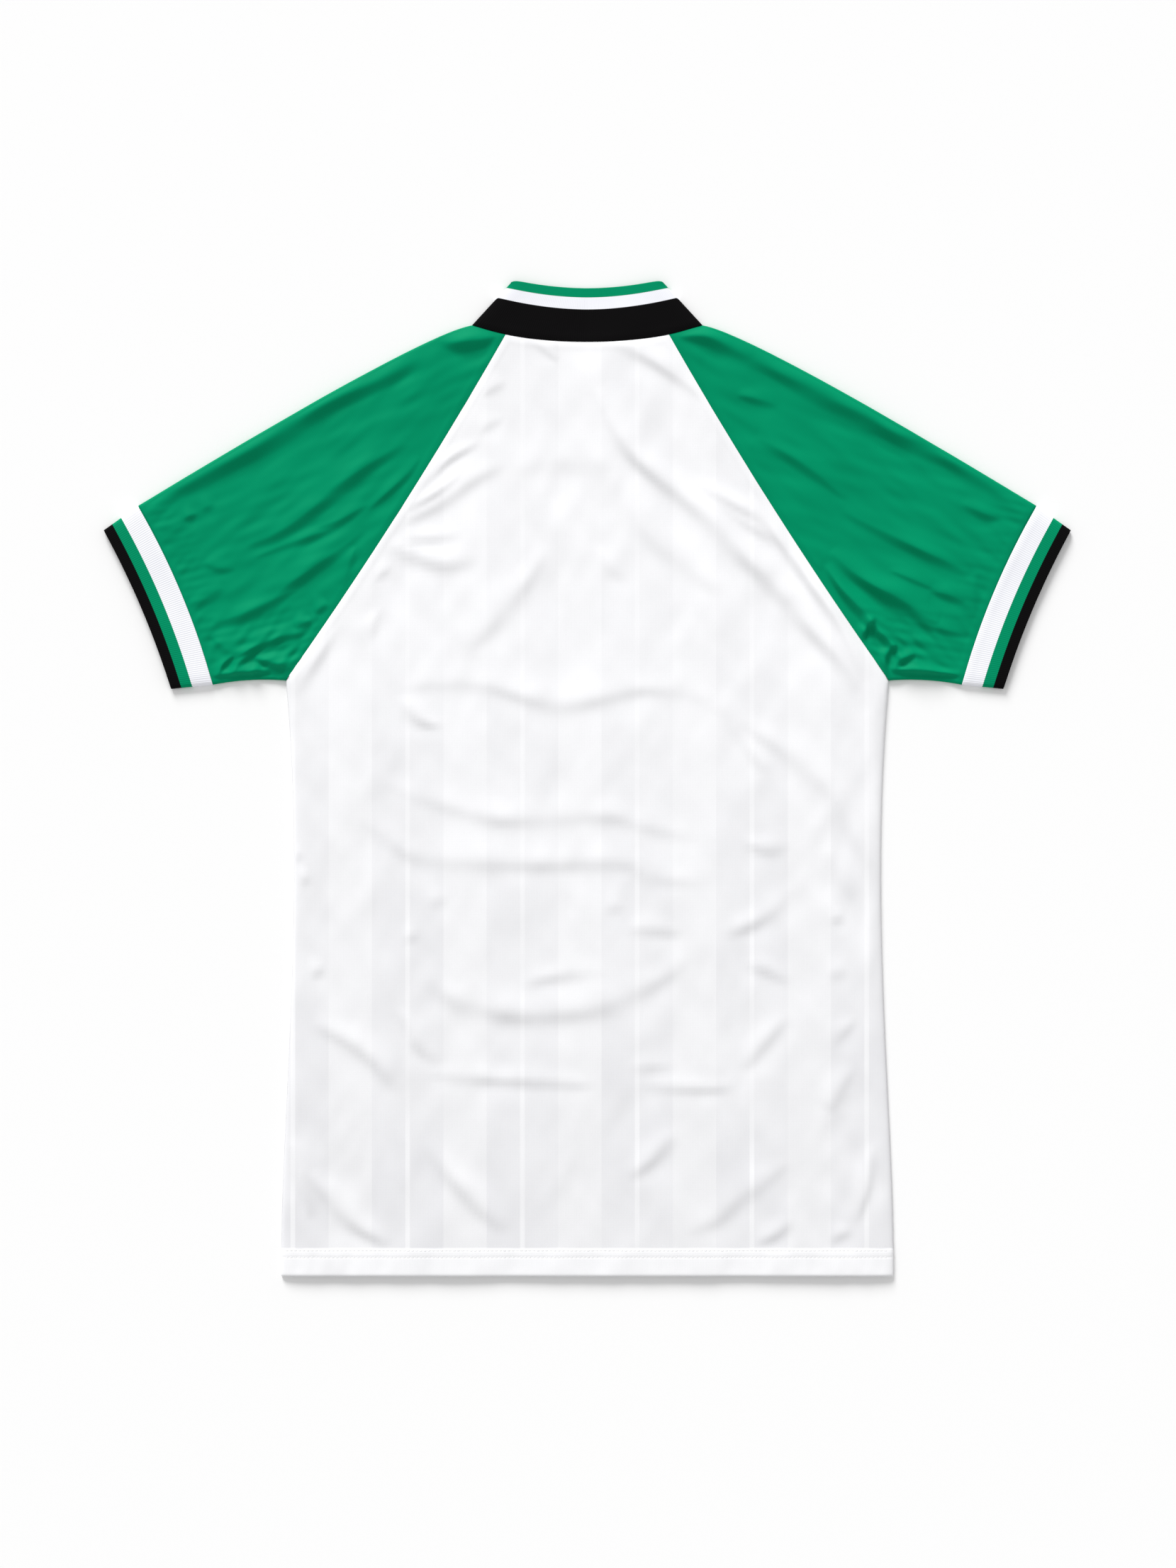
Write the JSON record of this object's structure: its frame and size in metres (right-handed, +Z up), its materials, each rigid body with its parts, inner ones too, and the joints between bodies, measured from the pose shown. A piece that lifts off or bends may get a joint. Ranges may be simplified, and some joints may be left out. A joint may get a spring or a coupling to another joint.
{
  "type": "football jersey",
  "caption": "Short-sleeved football jersey with contrast raglan sleeves, a striped body, a rib collar and rib cuffs, laid flat with its back up.",
  "frame": {"origin": "on the surface that it lies on, under the middle of the garment's box", "axes": "+Z up out of the back, +Y from the hem to the collar, +X to the wearer's right sleeve"},
  "size_m": [0.7628, 0.7848, 0.0081],
  "materials": {
    "body_cloth": "white polyester knit with soft vertical stripes in the weave",
    "sleeve_cloth": "smooth green polyester knit with a soft sheen",
    "collar_rib": "black flat-knit rib with a white stripe and a green tip",
    "cuff_rib": "white flat-knit rib with a green stripe and a black tip"
  },
  "bodies": {
    "root": {"front_panel": "body_cloth", "back_panel": "body_cloth", "sleeve_left": "sleeve_cloth", "sleeve_right": "sleeve_cloth", "cuff_left": "cuff_rib", "cuff_right": "cuff_rib", "collar": "collar_rib"}
  },
  "joints": []
}
